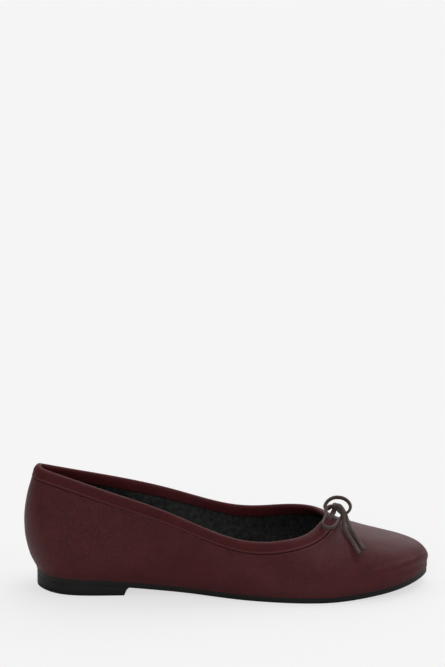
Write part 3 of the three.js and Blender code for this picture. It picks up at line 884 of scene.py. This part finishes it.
# The drawstring bow: a narrow taupe leather lace comes out of two holes in the binding at the throat,
# crosses in a small knot, and stands in two loops with two tails that lie out over the vamp.
lace_width = 2.5
lace_flatness = 0.64
knot_radius = 2.7
knot_reach = knot_radius + clearance
hole_spread = {"outer": -0.7, "inner": 0.15}
hole_down = 0.45 * binding_width
knot_place = rim_point(np.array([toe_station]))[0] + np.array([5.5, 0.6, 5.4])
bow_bends = {
    "outer": {
        "lead": [(-1.9, -6.2, -4.3)],
        "lead_into": (-0.10, -0.55, -0.83),
        "loop_from": (-0.90, -0.38, 0.20),
        "loop": [(-4.9, -3.0, 0.2), (-5.6, -6.5, -2.2), (-7.0, -12.0, -4.4), (-8.2, -17.6, -6.2),
                 (-5.6, -19.8, -7.7), (-1.2, -18.2, -7.7), (1.2, -12.6, -6.9), (3.6, -6.4, -5.6),
                 (4.3, -3.0, -4.2)],
        "loop_into": (0.62, -0.35, -0.70),
        "tail_from": (0.70, -0.68, 0.20),
        "tail": [(4.7, -4.7, -1.3), (5.3, -7.7, -4.2), (5.4, -11.2, -7.9), (6.4, -16.3, -11.0),
                 (9.8, -22.2, -15.0), (12.6, -27.8, -18.3), (14.6, -32.6, -20.4)],
    },
    "inner": {
        "lead": [(-1.5, 1.6, -4.6)],
        "lead_into": (-0.10, 0.60, -0.79),
        "loop_from": (-0.75, 0.60, -0.25),
        "loop": [(-5.0, 3.4, -3.0), (-6.1, 5.0, -1.8), (-4.6, 7.0, 1.0), (-1.1, 8.5, 3.0), (2.7, 9.5, 3.1),
                 (6.4, 9.0, 2.2), (9.1, 7.5, 0.1), (9.9, 5.5, -2.2), (8.5, 4.2, -4.7), (6.1, 3.7, -5.9),
                 (3.7, 3.5, -4.2)],
        "loop_into": (0.62, 0.62, -0.48),
        "tail_from": (0.93, 0.25, 0.10),
        "tail": [(4.8, 0.3, -1.8), (6.5, -0.9, -4.8), (7.5, -3.1, -7.2), (9.5, -9.6, -10.1),
                 (12.3, -17.2, -13.0), (14.8, -22.5, -16.1), (17.3, -28.3, -19.0)],
    },
}


def at_knot(way, beyond):
    return knot_place + unit(np.array(way)) * (knot_reach + beyond)


def from_knot(bends):
    return [knot_place + np.array(bend) for bend in bends]


def smooth_line(points, spacing):
    """A centripetal curve through the points, resampled at an even spacing."""
    points = np.array(points)
    before = 2 * points[0] - points[1]
    after = 2 * points[-1] - points[-2]
    held = np.vstack([before, points, after])
    line = []
    for i in range(1, len(held) - 2):
        p0, p1, p2, p3 = held[i - 1:i + 3]
        t0 = 0.0
        t1 = t0 + np.linalg.norm(p1 - p0) ** 0.5
        t2 = t1 + np.linalg.norm(p2 - p1) ** 0.5
        t3 = t2 + np.linalg.norm(p3 - p2) ** 0.5
        t = np.linspace(t1, t2, 24, endpoint=False)[:, None]
        a1 = (t1 - t) / (t1 - t0) * p0 + (t - t0) / (t1 - t0) * p1
        a2 = (t2 - t) / (t2 - t1) * p1 + (t - t1) / (t2 - t1) * p2
        a3 = (t3 - t) / (t3 - t2) * p2 + (t - t2) / (t3 - t2) * p3
        b1 = (t2 - t) / (t2 - t0) * a1 + (t - t0) / (t2 - t0) * a2
        b2 = (t3 - t) / (t3 - t1) * a2 + (t - t1) / (t3 - t1) * a3
        line.append((t2 - t) / (t2 - t1) * b1 + (t - t1) / (t2 - t1) * b2)
    line = np.vstack(line + [points[-1:]])
    run = np.concatenate([[0], np.cumsum(np.linalg.norm(np.diff(line, axis=0), axis=1))])
    even = np.linspace(0, run[-1], int(run[-1] / spacing) + 1)
    return np.stack([np.interp(even, run, line[:, k]) for k in range(3)], 1)


def lace_rings(line, width, thickness, first_side, twist):
    """Rings of a flat lace with rounded edges, turned smoothly along its line."""
    sides = 16
    ways = unit(np.gradient(line, axis=0))
    side = unit(first_side - ways[0] * (first_side @ ways[0]))
    rings = []
    for i, way in enumerate(ways):
        side = unit(side - way * (side @ way))
        other = np.cross(way, side)
        turn_by = twist * i / len(ways)
        wide = side * math.cos(turn_by) + other * math.sin(turn_by)
        thin = np.cross(way, wide)
        angles = np.arange(sides) * 2 * math.pi / sides
        flat = np.sign(np.cos(angles)) * np.abs(np.cos(angles)) ** 0.75
        round_off = np.sign(np.sin(angles)) * np.abs(np.sin(angles)) ** 0.75
        rings.append(line[i] + flat[:, None] * wide * width / 2 + round_off[:, None] * thin * thickness / 2)
    return np.array(rings)


laces = {}
for name, sign in (("outer", -1), ("inner", 1)):
    bends = bow_bends[name]
    hole = np.array([toe_station + hole_spread[name]])
    mouth = wall_point(hole, np.array([[hole_down]]), np.array([[0.4]]))[0, 0]
    lip = wall_point(hole, np.array([[hole_down]]), np.array([[-binding_leather]]))[0, 0]
    route = [mouth, lip, *from_knot(bends["lead"]), at_knot(bends["lead_into"], 0)]
    route += [knot_place + np.array([-0.8, 0.7 * sign, 0.3])]
    route += [at_knot(bends["loop_from"], 0), *from_knot(bends["loop"]), at_knot(bends["loop_into"], 0)]
    route += [knot_place + np.array([0.7, 0.8 * sign, 0.5])]
    route += [at_knot(bends["tail_from"], 0), *from_knot(bends["tail"])]
    line = smooth_line(route, 0.45)
    rings = lace_rings(line, lace_width, lace_width * lace_flatness, np.array([0.0, 0.3, 1.0]), 0.9 * sign)
    laces[name] = (line, solid_from_rings("lace_" + name, rings, False))


wrap_steps = 60
wrap_radius = 1.55
wrap_width = 2.2
wrap_thickness = 1.5


def knot_line():
    """The one and a half turns that the lace makes round the crossing."""
    turns = np.linspace(-0.3, 1.15, wrap_steps) * 2 * math.pi
    axis_shift = np.linspace(-0.9, 0.9, wrap_steps)
    ring = np.stack([axis_shift, wrap_radius * np.cos(turns), wrap_radius * np.sin(turns)], 1)
    return ring + knot_place


wrap_rings = lace_rings(knot_line(), wrap_width, wrap_thickness, np.array([1.0, 0.0, 0.0]), 0.0)
knot = solid_from_rings("bow_knot_wrap", wrap_rings, False)


def lace_material():
    material, tree, shader = new_material("taupe_lace")
    surface = add_grain(tree, 0.45, 4.0)
    tone = blend_colours(tree, surface.outputs["Clouds"], (0.118, 0.078, 0.066), (0.185, 0.127, 0.108))
    tone = blend_colours(tree, remap(tree, surface.outputs["Pores"], 0.0, 1.0, 0.0, 0.5),
                         tone, (0.040, 0.027, 0.021))
    tree.links.new(tone, shader.inputs["Base Color"])
    rough = remap(tree, surface.outputs["Clouds"], 0.0, 1.0, 0.5, 0.65)
    tree.links.new(rough, shader.inputs["Roughness"])
    add_bump(tree, shader, surface.outputs["Height"], 0.5, 0.08)
    return material


taupe_lace = lace_material()
knot.data.materials.append(taupe_lace)
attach(knot, "root")
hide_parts("bow_knot")
for name, (line, lace) in laces.items():
    lace.data.materials.append(taupe_lace)
    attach(lace, "root")
    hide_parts("bow_lead_" + name, "bow_loop_" + name, "bow_tail_" + name)


# The studio: a plain pale floor that runs back without an edge, broad soft light from behind and
# above, small soft boxes at the front left and on the right, a faint one on the left, and a long lens
# that looks down at 17 degrees on the outer side.
floor_mesh = bpy.data.meshes.new("floor")
floor_half = 14.0
floor_mesh.from_pydata([(-floor_half, -floor_half, 0), (floor_half, -floor_half, 0),
                        (floor_half, floor_half, 0), (-floor_half, floor_half, 0)], [], [(0, 1, 2, 3)])
floor = bpy.data.objects.new("floor", floor_mesh)
bpy.context.scene.collection.objects.link(floor)
floor_paint, floor_tree, floor_shader = new_material("pale_floor")
floor_shader.inputs["Base Color"].default_value = (0.46, 0.46, 0.46, 1)
floor_shader.inputs["Emission Color"].default_value = (1, 1, 1, 1)
floor_shader.inputs["Emission Strength"].default_value = 0.64
floor_shader.inputs["Roughness"].default_value = 1.0
floor_shader.inputs["Specular IOR Level"].default_value = 0.0
floor_place = add(floor_tree, "ShaderNodeTexCoord")
floor_split = add(floor_tree, "ShaderNodeSeparateXYZ")
floor_tree.links.new(floor_place.outputs["Object"], floor_split.inputs[0])
floor_share = remap(floor_tree, floor_split.outputs["Y"], -0.16, -0.07, 0.0, 1.0)
floor_bounce = blend_colours(floor_tree, floor_share, (0.40, 0.40, 0.40), (0.90, 0.90, 0.90))
bounce_shader = add(floor_tree, "ShaderNodeBsdfDiffuse")
floor_tree.links.new(floor_bounce, bounce_shader.inputs["Color"])
floor_seen = add(floor_tree, "ShaderNodeLightPath")
floor_mix = add(floor_tree, "ShaderNodeMixShader")
floor_tree.links.new(floor_seen.outputs["Is Camera Ray"], floor_mix.inputs["Fac"])
floor_tree.links.new(bounce_shader.outputs[0], floor_mix.inputs[1])
floor_tree.links.new(floor_shader.outputs[0], floor_mix.inputs[2])
floor_tree.links.new(floor_mix.outputs[0], floor_tree.nodes["Material Output"].inputs["Surface"])
floor_mesh.materials.append(floor_paint)

sky = bpy.data.worlds.new("studio")
sky.use_nodes = True
sky_tree = sky.node_tree
sky_way = add(sky_tree, "ShaderNodeTexCoord")
towards_back = add(sky_tree, "ShaderNodeVectorMath", operation="DOT_PRODUCT")
towards_back.inputs[1].default_value = (0.0, 0.78, 0.626)
sky_tree.links.new(sky_way.outputs["Generated"], towards_back.inputs[0])
sky_share = remap(sky_tree, towards_back.outputs["Value"], 0.1, 1.0, 0.0, 1.0)
sky_tone = blend_colours(sky_tree, sky_share, (0.05, 0.05, 0.05), (0.46, 0.46, 0.46))
sky_tree.links.new(sky_tone, sky_tree.nodes["Background"].inputs["Color"])
sky_tree.nodes["Background"].inputs["Strength"].default_value = 1.0
bpy.context.scene.world = sky
bpy.context.scene.view_settings.view_transform = "Standard"


def soft_light(name, strength, spread, azimuth, elevation):
    """A wide soft source far away, so that the floor is lit evenly; azimuth 0 is behind the camera."""
    light = bpy.data.lights.new(name, "SUN")
    light.energy = strength
    light.angle = math.radians(spread)
    lamp = bpy.data.objects.new(name, light)
    bpy.context.scene.collection.objects.link(lamp)
    lamp.rotation_euler = (math.radians(90 - elevation), 0, math.radians(azimuth))


soft_light("back_softbox", 0.75, 60, 165, 40)
soft_light("overhead_softbox", 0.35, 50, 120, 68)
soft_light("front_left_softbox", 0.46, 20, -12, 23)
soft_light("right_softbox", 0.28, 30, 66, 25)
soft_light("left_window", 0.15, 40, -75, 22)

view_elevation = math.radians(17)
view_distance = 2600.0
aim_pixels = 199.5
picture_height = 667
sensor_width = 36
pixels_per_mm = 1.596
focal_pixels = view_distance * pixels_per_mm
lift = math.atan(aim_pixels / focal_pixels)
lens = bpy.data.cameras.new("camera")
lens.sensor_width = sensor_width
lens.lens = sensor_width * focal_pixels * math.cos(lift) / picture_height
lens.clip_end = 100
camera = bpy.data.objects.new("camera", lens)
bpy.context.scene.collection.objects.link(camera)
aim_up = 30.95
aim_along = 88.04
camera.location = (
    aim_along * millimetre,
    (aim_up * math.sin(view_elevation) - view_distance * math.cos(view_elevation)) * millimetre,
    (aim_up * math.cos(view_elevation) + view_distance * math.sin(view_elevation)) * millimetre,
)
camera.rotation_euler = (math.pi / 2 - (view_elevation - lift), 0, 0)
bpy.context.scene.camera = camera
